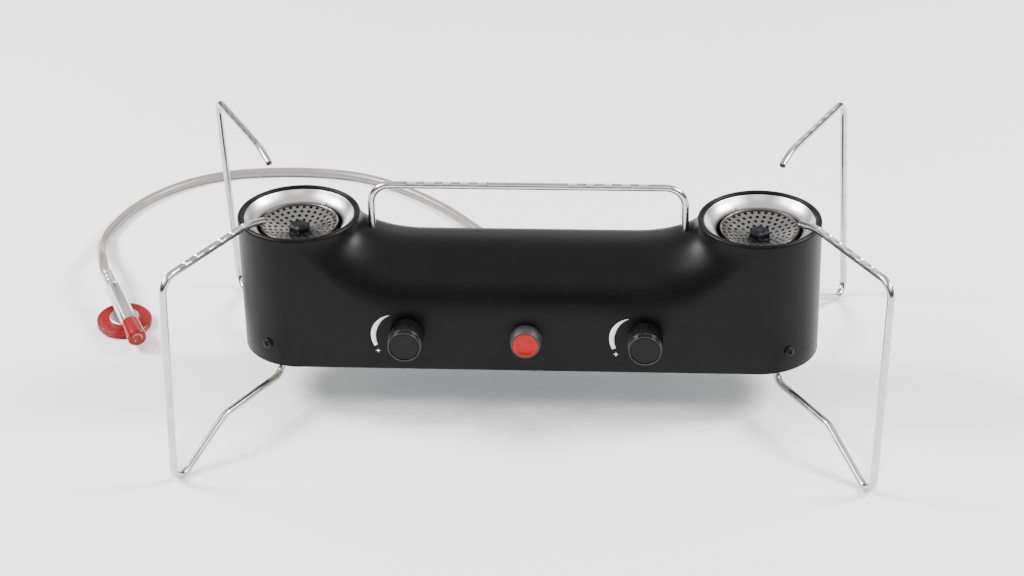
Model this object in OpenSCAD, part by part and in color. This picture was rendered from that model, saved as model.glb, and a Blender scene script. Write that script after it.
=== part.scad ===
// Two-burner camping stove with swing-out wire legs, a wire carrying handle,
// piezo ignition and a hose that screws onto a gas canister.
// Millimetres. +Z is up, the user stands at -Y, and the origin is on the ground
// under the middle of the stove.

/* [Housing] */
// Distance from the middle of the stove to each burner's centre
burner_x = 175; // [174:0.5:176]
// Outer radius of the round ends, half the depth of the housing
body_r = 47; // [46.8:0.1:47.5]
// Height of the housing's lower edge above the ground
base_z = 40; // [39.5:0.25:40.5]
// Height of the rims around the burners
rim_z = 150; // [149:0.5:152]
// Height of the saddle between the burners
saddle_z = 132; // [130:0.5:133]
// Thickness of the housing's sheet
wall = 1.2; // [1:0.1:1.3]

/* [Burners] */
// Radius of the perforated burner head
head_r = 30; // [29:0.5:30]
// Holes in the outermost ring of the burner head
head_holes = 32; // [24:1:32]
// Depth of the burner head below the rim
head_drop = 8; // [7.5:0.5:9]
// Radius of a flame port
port_r = 1.15; // [0.9:0.05:1.25]

/* [Legs and handle] */
// Diameter of the wire that the legs and the handle are bent from
wire_d = 5.5; // [5:0.25:5.5]
// Distance from a leg's pivot to its upright
leg_reach = 134.5; // [130:0.5:136]
// Height of the middle of the wire in the pan-support arms and the handle
arm_z = 174; // [172:0.5:178]
// Slope of the wire down to the foot
foot_slope = 26.8; // [25:0.1:28]
// Angle from the long axis of the front left leg when it is open
open_front_left = 61; // [58:0.5:64]
// Angle from the long axis of the front right leg when it is open
open_front_right = 59; // [58:0.5:64]
// Angle from the long axis of the back left leg when it is open
open_back_left = 61; // [58:0.5:64]
// Angle from the long axis of the back right leg when it is open
open_back_right = 64; // [58:0.5:64]
// Sideways lean of a leg's upright
leg_lean = 2.3; // [0:0.1:2.5]
// Half the width of the carrying handle
bail_x = 119; // [117:0.5:120]

/* [Controls] */
// Distance from the middle to each gas knob
knob_x = 90.5; // [89:0.5:92]
// Height of the gas knobs' axes
knob_z = 72; // [71:0.5:73]
// Radius of a gas knob
knob_r = 13.15; // [12.5:0.05:13.5]
// Height of the ignition button's axis
button_z = 68; // [67:0.5:68.5]
// Radius of the ignition button
button_r = 9.65; // [9.2:0.05:9.8]

/* [Hose and connector] */
// Outer diameter of the gas hose
hose_d = 8; // [7.5:0.25:8]
// Heading of the canister connector, from +X
conn_heading = -64.5; // [-65:0.5:-64]
// Nose-down tilt of the connector as it lies on the ground
conn_tilt = 6; // [5.8:0.1:6.2]
// Radius of the connector's hand wheel
wheel_r = 22.3; // [21.5:0.1:22.5]

/* [Hidden] */
$fn = 64;

paint_black = "#1b1b1d";
steel = "#c9c9cb";
dark_steel = "#4a4a4d";
brass = "#c8a24a";
black_plastic = "#222224";
red_plastic = "#c8342c";
ceramic = "#efece2";

left = -1;
right = 1;
wire_r = wire_d / 2;
fit = 0.05;                      // radial clearance of a running fit
gap = 0.3;                       // clearance between neighbouring parts

// Housing
face_y = body_r - 0.2;           // front and back faces, just inside the round ends
saddle_axis_z = saddle_z - face_y;
blend_reach = 50;                // the saddle starts to climb this far from a round end
blend_steps = 8;
arc_steps = 20;
bead_r = 2.2;                    // rolled edge of the burner rim
ledge_z = rim_z - bead_r;
bead_ring_r = body_r - bead_r - 0.3;
screw_angle = 60;
screw_z = 57.5;
screw_r = 2;

// Base plate and leg pivots
plate_t = 1.5;
plate_z = base_z + 1;
plate_r = body_r - wall - gap;
flange_top_z = 64;
pivot_x = 190;
pivot_y = 33;
bush_r = 6;
bush_top_z = 52;
clip_t = 1.2;
bend_overlap = 0.1;
bend_step = 0.01;

// Burner stack
head_z = rim_z - head_drop;
lip_z = head_z - 3.5;
burner_floor_z = 114;
stud_r = 2.9;
bowl_r = 32.8;
ring_step = 4.3;                 // spacing of the flame-port rings
port_rings = 5;
electrode_r = 31.3;
electrode_angle = 55;
mix_r = 8;
mix_bend = 18;

// Legs
strut_z = 27.5;
pivot_bend = 10;
kink_bend = 12;
foot_bend = 11;
elbow_bend = 12;
tip_bend = 60;
pin_top_z = 55;
drop_r = 36;                     // where the arm starts to drop towards its tip
tip_r = 17;
tip_drop = 5.5;
foot_z = wire_r + foot_bend - foot_bend / tan((90 - foot_slope) / 2);
kink_r = leg_reach - (strut_z - foot_z) / tan(foot_slope);
notch_pitch = 13.4;
notch_len = 8.6;
notch_depth = 0.7;
arm_notches = 6;
arm_notch_r = 46;                // distance from the pivot to the innermost notch
bail_notches = 5;
bail_notch_x = 34;
bail_bend = 15;
bail_foot_z = 124;

// Gas train
valve_y = 6;                     // back face of the valve bodies
manifold_y = 13;
manifold_r = 4;
inlet_y = 33;
ferrule_y = 56;
stem_r = 3;

// Ignition
collar_front_y = 57;
button_travel = 4;

// Canister connector, in its own frame: +X towards the knob, +Z out of the wheel's top
conn_pos = [-339, 80.5, 5.1];
bar_z = 11.5;
bar_af = 12;
bar_x = [-32, 21];
wheel_t = 5.5;
hub_r = 12;
boss_r = 9;
boss_z = -4;
neck_r = 4;
socket_r = 5.4;                  // root radius of the canister thread
socket_top_z = 0.6;
seat_r = 5;                      // chamber above the thread, for the seal
seat_top_z = 3.9;
ferrule_len = 24;
line_knob_r = 7.6;
line_knob_x = [21.5, 44];

hose_route = [
  [0, 78, 72], [0, 87, 72], [0, 101, 70], [0, 115, 65], [-1, 128.5, 56.5], [-3, 141, 45], [-6, 153, 32],
  [-11, 166, 20], [-18, 181, 11], [-27, 198, 6], [-38, 217, 4], [-52, 237, 4], [-67, 256, 4],
  [-82, 275, 4], [-98, 293, 4], [-116, 310, 4], [-136, 326, 4], [-158, 340, 4], [-182, 350, 4],
  [-207, 355, 4], [-232, 357, 4], [-257, 356, 4], [-281, 353, 4], [-304, 346, 4], [-325, 335, 4],
  [-343, 320, 4], [-358, 302, 4], [-370, 281, 4], [-378, 259, 4], [-383, 236, 4.5],
  [-383, 215, 7], [-381, 196, 11], [-377, 178, 16], [-372.5, 161, 20.5],
  [-368.5, 146.5, 23], [-365.9, 137, 23.3], [-362.5, 129.7, 22.4]];

lead_route = [[1.5, 4.6, 67.5], [7, 18, 61], [14, 25, 57], [30, 27, 56], [60, 27, 56], [100, 27, 56],
  [138, 27, 57], [150, 26, 62], [156, 25.7, 72], [157, 25.64, 90], [157, 25.64, 107.9]];

// ---------- shared shapes ----------

function unit(v) = v / norm(v);

// One arc of a bent wire: its centre, start angle, sweep and the two tangent points.
function bend(a, b, c, r) =
  let (u = unit(a - b), w = unit(c - b), half = acos(u * w) / 2, t = r / tan(half),
       m = b + unit(u + w) * r / sin(half), s = b + u * t, e = b + w * t,
       ccw = u.y * w.x - u.x * w.y > 0, f = ccw ? s : e)
  [m, atan2(f.y - m.y, f.x - m.x), 180 - 2 * half, s, e];

// A round wire or tube along points [x, z] in the XZ plane, with one bend radius per corner.
module bent_wire(points, bends, r) {
  n = len(points);
  arcs = [for (i = [1:n - 2]) bend(points[i - 1], points[i], points[i + 1], bends[i - 1])];
  for (i = [0:n - 2]) {
    s = i == 0 ? points[0] : arcs[i - 1][4];
    e = i == n - 2 ? points[n - 1] : arcs[i][3];
    d = e - s;
    translate([s.x, 0, s.y]) rotate([0, atan2(d.x, d.y), 0]) cylinder(h = norm(d), r = r);
  }
  for (i = [0:n - 3])
    translate([arcs[i][0].x, 0, arcs[i][0].y]) bent_piece(bends[i], arcs[i][1], arcs[i][2], r);
}

// A bend runs a little way into the straights beside it and is a hair thinner than they are.
module bent_piece(bend_r, start, sweep, r) {
  over = bend_overlap / bend_r * 180 / PI;
  rotate([90, 0, 0]) rotate([0, 0, start - over])
    rotate_extrude(angle = sweep + 2 * over) translate([bend_r, 0]) circle(r = r - bend_step);
}

// A tube swept along a list of points, with flat ends.
module swept_tube(route, r, sides) {
  n = len(route);
  points = [for (i = [0:n - 1])
    let (t = unit(route[min(i + 1, n - 1)] - route[max(i - 1, 0)]),
         a = unit(cross([0.02, 0.01, 1], t)), b = cross(t, a))
    for (k = [0:sides - 1]) route[i] + r * (cos(360 * k / sides) * a + sin(360 * k / sides) * b)];
  skin = [for (i = [0:n - 2], k = [0:sides - 1])
    let (k2 = (k + 1) % sides, p = i * sides, q = p + sides)
    each [[p + k, p + k2, q + k2], [p + k, q + k2, q + k]]];
  near = [for (k = [sides - 1:-1:0]) k];
  far = [for (k = [0:sides - 1]) (n - 1) * sides + k];
  polyhedron(points, [for (f = concat(skin, [near, far])) [for (i = [len(f) - 1:-1:0]) f[i]]]);
}

module ring(r_out, r_in, h) {
  difference() {
    cylinder(h = h, r = r_out);
    translate([0, 0, -1]) cylinder(h = h + 2, r = r_in);
  }
}

// A hexagonal prism, given across its flats.
module hex(af, h) { cylinder(h = h, r = af / sqrt(3), $fn = 6); }

// Turns a shape made along +Z so that it points away from the user, along +Y.
module along_y() { rotate([-90, 0, 0]) children(); }

// Half-round saddle at this distance from its middle plane, inside a skin of thickness inset.
function saddle_top(y, inset) =
  saddle_axis_z + sqrt(max((face_y - inset) * (face_y - inset) - y * y, 0));

// One curved row of points across the saddle, at distance d outside a burner's round end.
// The surface there has climbed by a quarter ellipse, of which a is the angle so far.
function saddle_row(side, d, a, inset) =
  let (w = face_y - inset, r = body_r + d - inset * sin(a), low = base_z - (inset > 0 ? 1 : 0),
       ys = [for (k = [0:arc_steps]) -w * cos(180 * k / arc_steps)],
       xs = [for (y = ys) side * (burner_x - sqrt(max(r * r - y * y, 0)))],
       tops = [for (y = ys) let (top = saddle_top(y, inset))
         top + (ledge_z - inset * (1 - sin(a)) - top) * (1 - cos(a))])
  concat([[xs[0], -w, low]], [for (k = [0:arc_steps]) [xs[k], ys[k], tops[k]]],
    [[xs[arc_steps], w, low]]);

// The middle of the housing, shrunk by inset: flat faces below, a half-round saddle above,
// and a smooth climb towards the burners' rims. Its ends lie inside the round ends.
module saddle_body(inset) {
  last = 75;
  climb = [for (i = [blend_steps:-1:0]) last * i / blend_steps];
  function end_row(side) =
    [for (p = saddle_row(side, -9, last, inset)) [side * (burner_x + 0.5), p.y, p.z]];
  function side_rows(side) = concat([end_row(side), saddle_row(side, -9, last, inset)],
    [for (a = climb) saddle_row(side, blend_reach * (1 - sin(a)), a, inset)]);
  right_rows = side_rows(right);
  rows = concat(side_rows(left), [for (i = [len(right_rows) - 1:-1:0]) right_rows[i]]);
  m = arc_steps + 3;
  n = len(rows);
  skin = [for (i = [0:n - 2], k = [0:m - 1])
    let (k2 = (k + 1) % m, p = i * m, q = p + m)
    each [[p + k, p + k2, q + k2], [p + k, q + k2, q + k]]];
  polyhedron([for (row = rows) each row],
    concat(skin, [[for (k = [m - 1:-1:0]) k], [for (k = [0:m - 1]) (n - 1) * m + k]]));
}

// ---------- housing ----------

module at_burner(side) { translate([side * burner_x, 0, 0]) children(); }

// The four screws point out of the round ends, square to their surface.
module at_screws() {
  for (side = [left, right], fb = [-1, 1])
    at_burner(side) rotate([0, 0, side > 0 ? fb * screw_angle : 180 - fb * screw_angle])
      translate([0, 0, screw_z]) rotate([0, 90, 0]) children();
}

module housing() color(paint_black) {
  difference() {
    union() {
      for (side = [left, right])
        at_burner(side) translate([0, 0, base_z]) cylinder(h = ledge_z - base_z, r = body_r);
      saddle_body(0);
    }
    for (side = [left, right])
      at_burner(side) translate([0, 0, base_z - 1])
        cylinder(h = rim_z - base_z, r = body_r - wall);
    saddle_body(wall);
    for (side = [left, right]) {
      translate([side * knob_x, -face_y - 5, knob_z]) along_y() cylinder(h = 10, r = 6.2);
      translate([side * bail_x, 0, saddle_axis_z]) cylinder(h = 70, r = wire_r + 0.15);
    }
    translate([0, -face_y - 5, button_z]) along_y() cylinder(h = 10, r = 10.2);
    translate([0, face_y - 5, knob_z]) along_y() cylinder(h = 10, r = 6.2);
    at_screws() translate([0, 0, body_r - 4]) cylinder(h = 6, r = screw_r + 0.15);
  }
  for (side = [left, right])
    at_burner(side) translate([0, 0, ledge_z])
      rotate_extrude() translate([bead_ring_r, 0]) circle(r = bead_r);
}

module stadium(r, h) {
  for (side = [left, right]) at_burner(side) cylinder(h = h, r = r);
  translate([-burner_x, -r + 0.2, 0]) cube([2 * burner_x, 2 * r - 0.4, h]);
}

module base_plate() color(dark_steel) difference() {
  union() {
    translate([0, 0, plate_z]) stadium(plate_r, 8);
    for (side = [left, right]) at_burner(side) translate([0, 0, plate_z])
      cylinder(h = flange_top_z - plate_z, r = plate_r);
  }
  translate([0, 0, plate_z + plate_t]) stadium(plate_r - wall, flange_top_z);
  for (side = [left, right]) translate([side * (burner_x - 30) - 40, -60, plate_z + 8])
    cube([80, 120, 40]);
  for (side = [left, right], fb = [-1, 1])
    translate([side * pivot_x, fb * pivot_y, base_z]) cylinder(h = 5, r = bush_r + fit);
  for (x = [-120:30:120], fb = [-1, 1]) translate([x - 9, fb * 18 - 2, base_z]) cube([18, 4, 5]);
  at_screws() translate([0, 0, body_r - 6]) cylinder(h = 6, r = screw_r + fit);
}

// Pan-head screws with a cross recess.
module housing_screws() color(dark_steel) at_screws() translate([0, 0, body_r]) {
  difference() {
    union() {
      cylinder(h = 1.6, r = 4);
      translate([0, 0, 1.6]) cylinder(h = 0.9, r1 = 4, r2 = 2.8);
    }
    for (a = [0, 90]) rotate([0, 0, a]) translate([-2.3, -0.5, 1.3]) cube([4.6, 1, 2]);
  }
  translate([0, 0, -3.5]) cylinder(h = 3.5, r = screw_r);
}

// ---------- burners ----------

// Pressed steel bowl around the burner head, with a skirt and a foot inside the housing.
module drip_bowl(side) color(steel) at_burner(side) {
  rise = rim_z - 2 - (head_z - 1.5);
  width = bead_ring_r - bead_r - 0.1 - bowl_r;
  n = 8;
  t = 0.8;
  dish = [for (i = [0:n]) [bowl_r + width * sin(90 * i / n), head_z - 1.5 + rise * (1 - cos(90 * i / n))]];
  foot_r = body_r - wall - gap;
  rotate_extrude() polygon(concat(dish, [for (i = [n:-1:1]) dish[i] + [0, -t]],
    [[bowl_r + t, head_z - 1.5 - t], [bowl_r + t, 131.8], [foot_r, 131.8], [foot_r, 131],
     [bowl_r, 131]]));
}
module left_drip_bowl() drip_bowl(left);
module right_drip_bowl() drip_bowl(right);

// Dished disc with rings of flame ports and a rolled edge.
module burner_head(side) color(steel) at_burner(side) difference() {
  rotate_extrude() polygon([[8.4, head_z - 8.4], [28.2, head_z - 1.6], [28.9, head_z],
    [head_r, head_z], [head_r + 0.1, lip_z], [head_r - 1.1, lip_z], [head_r - 1.4, head_z - 2.4],
    [8.4, head_z - 9.6], [3.1, head_z - 9.6], [3.1, head_z - 8.4]]);
  for (k = [0:port_rings - 1]) {
    r = head_r - 2.9 - k * ring_step;
    count = round(head_holes * r / (head_r - 2.9));
    for (i = [0:count - 1]) rotate([0, 0, 360 * (i + 0.5 * (k % 2)) / count])
      translate([r, 0, head_z - 12]) cylinder(h = 14, r = port_r, $fn = 24);
  }
}
module left_burner_head() burner_head(left);
module right_burner_head() burner_head(right);

// Domed hexagon screw that holds the head down on the burner body.
module burner_nut(side) color(dark_steel) at_burner(side) {
  translate([0, 0, head_z - 8.3]) {
    intersection() {
      hex(14.5, 6.5);
      rotate_extrude() polygon([[0, 0], [8.4, 0], [8.4, 4.2], [5.5, 6.5], [0, 6.5]]);
    }
    cylinder(h = 0.8, r = 8.3);
  }
  translate([0, 0, 126]) cylinder(h = head_z - 8.3 - 126, r = stud_r);
}
module left_burner_nut() burner_nut(left);
module right_burner_nut() burner_nut(right);

// Cast cup that feeds the head, with a bar across it for the screw.
module burner_body(side) color("#8d8f92") at_burner(side) {
  rotate_extrude() polygon([[7, burner_floor_z], [13, burner_floor_z], [29, 126], [29, lip_z - 0.1],
    [26.8, lip_z - 0.1], [26.8, 127], [12, 116.5], [7, 116.5]]);
  difference() {
    translate([-27.5, -3.5, 127.5]) cube([55, 7, 4]);
    translate([0, 0, 125]) cylinder(h = 10, r = stud_r + fit);
  }
}
module left_burner_body() burner_body(left);
module right_burner_body() burner_body(right);

// Strap across the round end that carries the burner body.
module burner_bracket(side) color("#9b9da0") at_burner(side) difference() {
  intersection() {
    translate([-50, -12, burner_floor_z - 1.6]) cube([100, 24, 1.5]);
    translate([0, 0, 100]) cylinder(h = 20, r = body_r - wall - fit);
  }
  translate([0, 0, 110]) cylinder(h = 10, r = mix_r + 0.1);
}
module left_burner_bracket() burner_bracket(left);
module right_burner_bracket() burner_bracket(right);

// Elbow that mixes gas and air: air enters by the holes in the bell around the jet.
module mixing_tube(side) color("#b9bbbe") mirror([side < 0 ? 1 : 0, 0, 0]) {
  elbow = [[112, knob_z], [burner_x, knob_z], [burner_x, burner_floor_z - 0.1]];
  difference() {
    bent_wire(elbow, [mix_bend], mix_r);
    bent_wire([elbow[0] - [1, 0], elbow[1], elbow[2] + [0, 1]], [mix_bend], mix_r - 1);
  }
  translate([100.5, 0, knob_z]) rotate([0, 90, 0]) difference() {
    cylinder(h = 11.5, r = 11);
    translate([0, 0, 1]) cylinder(h = 9.3, r = 10);
    translate([0, 0, -1]) cylinder(h = 5, r = stem_r + fit);
    translate([0, 0, 5]) cylinder(h = 10, r = mix_r - 1);
    for (a = [45:90:315]) rotate([0, 0, a]) translate([0, 0, 5.6]) rotate([0, 90, 0])
      cylinder(h = 15, r = 2.6);
  }
}
module left_mixing_tube() mixing_tube(left);
module right_mixing_tube() mixing_tube(right);

module jet(side) color(brass) translate([side * (knob_x + 9.1), 0, knob_z])
  rotate([0, side * 90, 0]) difference() {
    union() {
      hex(6, 0.8);
      cylinder(h = 7, r = 2.6);
    }
    translate([0, 0, -1]) cylinder(h = 7, r = 1.2);
    translate([0, 0, 5]) cylinder(h = 4, r = 0.4);
  }
module left_jet() jet(left);
module right_jet() jet(right);

// ---------- gas train ----------

module valve_body(side) color(brass) translate([side * knob_x, 0, knob_z]) difference() {
  union() {
    translate([0, -face_y + wall + 0.1, 0]) along_y() cylinder(h = face_y - wall + valve_y - 0.1, r = 8);
    translate([0, -54, 0]) along_y() cylinder(h = 20, r = 6);
    rotate([0, side * 90, 0]) cylinder(h = 9, r = 5);
  }
  translate([0, -55, 0]) along_y() cylinder(h = 26, r = stem_r + fit);
  translate([0, -30, 0]) along_y() cylinder(h = valve_y + 31, r = 2);
  rotate([0, side * 90, 0]) cylinder(h = 10, r = 1.5);
}
module left_valve_body() valve_body(left);
module right_valve_body() valve_body(right);

module valve_nut(side) color(steel) translate([side * knob_x, -face_y - 3.3, knob_z]) along_y()
  difference() {
    hex(15, 3);
    translate([0, 0, -1]) cylinder(h = 5, r = 6 + fit);
  }
module left_valve_nut() valve_nut(left);
module right_valve_nut() valve_nut(right);

// Needle and shaft in one: the knob's end has a flat.
module valve_stem(side) color(brass) translate([side * knob_x, 0, knob_z]) difference() {
  union() {
    translate([0, -64, 0]) along_y() cylinder(h = 34.5, r = stem_r);
    translate([0, -29.6, 0]) along_y() cylinder(h = 8, r1 = 1.8, r2 = 0.6);
  }
  translate([-4, -65, 2]) cube([8, 9, 4]);
}
module left_valve_stem() valve_stem(left);
module right_valve_stem() valve_stem(right);

module knob(side) color(black_plastic) translate([side * knob_x, -face_y - 0.9, knob_z])
  rotate([90, 0, 0]) difference() {
    union() {
      cylinder(h = 17.5, r = knob_r);
      translate([0, 0, 17.5]) cylinder(h = 2, r1 = knob_r, r2 = knob_r - 0.8);
      translate([0, 0, 19.5]) ring(knob_r - 0.8, knob_r - 2.4, 1.3);
    }
    for (i = [0:35]) rotate([0, 0, 10 * i]) translate([knob_r + 0.35, 0, 2]) cylinder(h = 14, r = 0.8, $fn = 24);
    translate([0, 0, -1]) cylinder(h = 8, r = 10);
    difference() {
      translate([0, 0, 5]) cylinder(h = 12, r = stem_r + 0.03);
      translate([-4, 2.05, 9.2]) cube([8, 4, 9]);
    }
  }
module left_knob() knob(left);
module right_knob() knob(right);

// Pipe between the two valves, fed in the middle.
module gas_manifold() color(brass) difference() {
  union() {
    translate([-knob_x - 5, manifold_y, knob_z]) rotate([0, 90, 0])
      cylinder(h = 2 * knob_x + 10, r = manifold_r);
    for (side = [left, right])
      translate([side * knob_x, valve_y, knob_z]) along_y() cylinder(h = 5, r = 3.5);
    translate([0, manifold_y, knob_z]) along_y() cylinder(h = inlet_y - manifold_y, r = 5);
  }
  translate([-knob_x - 3, manifold_y, knob_z]) rotate([0, 90, 0])
    cylinder(h = 2 * knob_x + 6, r = manifold_r - 1);
  for (side = [left, right])
    translate([side * knob_x, valve_y - 1, knob_z]) along_y() cylinder(h = 6, r = 2);
  translate([0, manifold_y, knob_z]) along_y() cylinder(h = 40, r = 2.5);
}

module inlet_fitting() color(brass) translate([0, 0, knob_z]) difference() {
  union() {
    translate([0, inlet_y, 0]) along_y() hex(14, face_y - wall - inlet_y - 0.1);
    translate([0, face_y - wall - 1, 0]) along_y() cylinder(h = ferrule_y - face_y + wall + 1, r = 6);
  }
  translate([0, inlet_y - 1, 0]) along_y() cylinder(h = 40, r = 2.5);
}

module inlet_nut() color(steel) translate([0, face_y + 0.1, knob_z]) along_y() difference() {
  hex(16, 4);
  translate([0, 0, -1]) cylinder(h = 6, r = 6 + fit);
}

// ---------- ignition ----------

module at_electrode(side)
  at_burner(side) rotate([0, 0, side < 0 ? electrode_angle : 180 - electrode_angle])
    translate([electrode_r, 0, 0]) children();

module electrode(side) color(steel) at_electrode(side)
  bent_wire([[0, 108], [0, head_z + 2.6], [-6, head_z + 3.4]], [2], 0.6);
module left_electrode() electrode(left);
module right_electrode() electrode(right);

module insulator(side) color(ceramic) at_electrode(side) translate([0, 0, 110])
  ring(1.35, 0.65, 27);
module left_insulator() insulator(left);
module right_insulator() insulator(right);

module igniter_lead(side) color("#2a2a2c")
  swept_tube([for (p = lead_route) [side * p.x, p.y, p.z]], 1.1, 8);
module left_igniter_lead() igniter_lead(left);
module right_igniter_lead() igniter_lead(right);

module igniter_collar() color(black_plastic) translate([0, 0, button_z]) difference() {
  union() {
    translate([0, -collar_front_y, 0]) along_y()
      rotate_extrude() polygon([[0, 0], [10.7, 0], [11.6, 1.2], [12.4, 6], [12.4, 10.1], [0, 10.1]]);
    translate([0, -face_y - 0.2, 0]) along_y() cylinder(h = 9, r = 10);
  }
  translate([0, -collar_front_y - 1, 0]) along_y() cylinder(h = 30, r = button_r + fit);
}

module igniter_nut() color(black_plastic) translate([0, -face_y + wall + 0.1, button_z]) along_y()
  ring(13.5, 10 + fit, 4);

module igniter_button() color(red_plastic) translate([0, 0, button_z]) {
  translate([0, -collar_front_y - 0.6, 0]) along_y()
    rotate_extrude() polygon([[0, 0.5], [6.5, 0.3], [8.6, 0], [button_r, 0.9], [button_r, 15], [0, 15]]);
  translate([0, -collar_front_y + 14.2, 0]) along_y() cylinder(h = 3, r = 3);
}

// Return spring, drawn as four turns between the button and the piezo unit.
module igniter_spring() color(steel) translate([0, 0, button_z])
  for (i = [0:3]) translate([0, -41.4 + 2.3 * i, 0]) along_y()
    rotate_extrude() translate([5, 0]) circle(r = 0.4, $fn = 16);

module piezo_unit() color("#d9d4c4") translate([0, 0, button_z]) {
  translate([0, -33.5, 0]) along_y() cylinder(h = 4, r = 8.5);
  translate([0, -30, 0]) along_y() cylinder(h = 32, r = 6.5);
  translate([0, 1.5, 0]) along_y() cylinder(h = 2.5, r = 3);
}

// ---------- legs and handle ----------

// A pressed flat in the top of a level wire, for pans to grip.
module notch(x) translate([x - notch_len / 2, -wire_r - 1, arm_z + wire_r - notch_depth])
  cube([notch_len, wire_d + 2, 3]);

// One leg in its own frame: pivot on the Z axis, upright towards +X.
module leg_wire() {
  bend_top_z = strut_z + pivot_bend;
  translate([0, 0, bend_top_z]) cylinder(h = pin_top_z - bend_top_z, r = wire_r);
  translate([pivot_bend, 0, bend_top_z]) bent_piece(pivot_bend, 180, 90, wire_r);
  translate([0, 0, strut_z]) rotate([-leg_lean, 0, 0]) translate([0, 0, -strut_z])
    difference() {
      bent_wire([[pivot_bend, strut_z], [kink_r, strut_z], [leg_reach, foot_z], [leg_reach, arm_z],
        [drop_r, arm_z], [tip_r, arm_z - tip_drop]],
        [kink_bend, foot_bend, elbow_bend, tip_bend], wire_r);
      for (i = [0:arm_notches - 1]) notch(arm_notch_r + i * notch_pitch);
    }
}

module leg(side, fb, azimuth) color(steel)
  translate([side * pivot_x, fb * pivot_y, 0]) rotate([0, 0, azimuth]) leg_wire();
module leg_front_left() leg(left, -1, 180 + open_front_left);
module leg_front_right() leg(right, -1, -open_front_right);
module leg_back_left() leg(left, 1, 180 - open_back_left);
module leg_back_right() leg(right, 1, open_back_right);

// Push-on retaining ring at the top of a pivot.
module clip(side, fb) color(dark_steel)
  translate([side * pivot_x, fb * pivot_y, bush_top_z + gap]) ring(5, wire_r + 0.01, clip_t);
module clip_front_left() clip(left, -1);
module clip_front_right() clip(right, -1);
module clip_back_left() clip(left, 1);
module clip_back_right() clip(right, 1);

module pivot_bushes() color(brass)
  for (side = [left, right], fb = [-1, 1]) translate([side * pivot_x, fb * pivot_y, 0]) difference() {
    union() {
      translate([0, 0, plate_z - 1.5]) cylinder(h = bush_top_z - plate_z + 1.5, r = bush_r);
      translate([0, 0, plate_z - 1.6]) cylinder(h = 1.5, r = 7.5);
    }
    translate([0, 0, plate_z - 3]) cylinder(h = 30, r = wire_r + fit);
  }

module carry_bail() color(steel) difference() {
  bent_wire([[-bail_x, bail_foot_z], [-bail_x, arm_z], [bail_x, arm_z], [bail_x, bail_foot_z]],
    [bail_bend, bail_bend], wire_r);
  for (side = [left, right], i = [0:bail_notches - 1]) notch(side * (bail_notch_x + i * notch_pitch));
}

module bail_nuts() color(dark_steel) for (side = [left, right])
  translate([side * bail_x, 0, bail_foot_z + 5.5]) difference() {
    hex(10, 5);
    translate([0, 0, -1]) cylinder(h = 7, r = wire_r + 0.02);
  }

// ---------- hose and canister connector ----------

module hose_inlet_ferrule() color(steel) translate([0, ferrule_y, knob_z]) along_y() difference() {
  cylinder(h = hose_route[0].y - ferrule_y, r = 5.5);
  for (i = [0:2]) translate([0, 0, 5 + 5 * i]) ring(7, 5.1, 1.6);
}

module hose() color("#a8a29c") swept_tube(hose_route, hose_d / 2, 10);

module at_connector()
  translate(conn_pos) rotate([0, 0, conn_heading]) rotate([0, conn_tilt, 0]) children();

module hose_outlet_ferrule() color(steel) at_connector()
  translate([bar_x[0] - ferrule_len, 0, bar_z]) rotate([0, 90, 0]) difference() {
    cylinder(h = ferrule_len, r = 4.6);
    for (i = [0:2]) translate([0, 0, 6 + 5 * i]) ring(7, 4.2, 1.6);
  }

// Hexagon bar with the neck that carries the hand wheel and the spigot of the line knob.
module connector_body() color(steel) at_connector() {
  difference() {
    union() {
      translate([bar_x[0], 0, bar_z]) rotate([0, 90, 0]) rotate([0, 0, 30])
        hex(bar_af, bar_x[1] - bar_x[0]);
      translate([bar_x[1] - 3, 0, bar_z]) rotate([0, 90, 0]) cylinder(h = 17, r = 3);
      translate([0, 0, 2.6]) cylinder(h = bar_z - 2.6, r = neck_r);
      translate([0, 0, 2.5]) cylinder(h = 1.1, r = seat_r - 0.4);
    }
    translate([0, 0, 1]) cylinder(h = 7, r = 1.8);
  }
  translate([0, 0, 0.8]) cylinder(h = 8, r = 0.9);
}

// Plated hub: a disc above the wheel and the threaded socket through it.
module connector_hub() color("#d8d8da") at_connector() difference() {
  union() {
    translate([0, 0, boss_z]) cylinder(h = wheel_t / 2 - boss_z + 1, r = boss_r);
    translate([0, 0, wheel_t / 2 + 0.01]) cylinder(h = 2.2, r = hub_r);
  }
  translate([0, 0, boss_z - 1]) cylinder(h = socket_top_z - boss_z + 1, r = socket_r);
  translate([0, 0, boss_z]) cylinder(h = seat_top_z - boss_z, r = seat_r);
  translate([0, 0, boss_z]) cylinder(h = 12, r = neck_r + fit);
}

module connector_wheel() color(red_plastic) at_connector() translate([0, 0, -wheel_t / 2])
  rotate_extrude() polygon([[boss_r + fit, 0], [wheel_r - 0.8, 0], [wheel_r, 0.8],
    [wheel_r, wheel_t / 2 - 0.4], [wheel_r - 0.5, wheel_t / 2], [wheel_r, wheel_t / 2 + 0.4],
    [wheel_r, wheel_t - 0.8], [wheel_r - 0.8, wheel_t], [boss_r + fit, wheel_t]]);

module canister_seal() color("#161616") at_connector() translate([0, 0, 1.6])
  rotate_extrude() translate([3.7, 0]) circle(r = 0.8);

module line_knob() color(red_plastic) at_connector()
  translate([line_knob_x[0], 0, bar_z]) rotate([0, 90, 0]) difference() {
    rotate_extrude() polygon([[0, 0], [line_knob_r - 0.5, 0], [line_knob_r, 0.5],
      [line_knob_r, line_knob_x[1] - line_knob_x[0] - 0.8],
      [line_knob_r - 0.8, line_knob_x[1] - line_knob_x[0]], [0, line_knob_x[1] - line_knob_x[0]]]);
    translate([0, 0, -1]) cylinder(h = 15, r = 3 + fit);
  }

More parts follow.
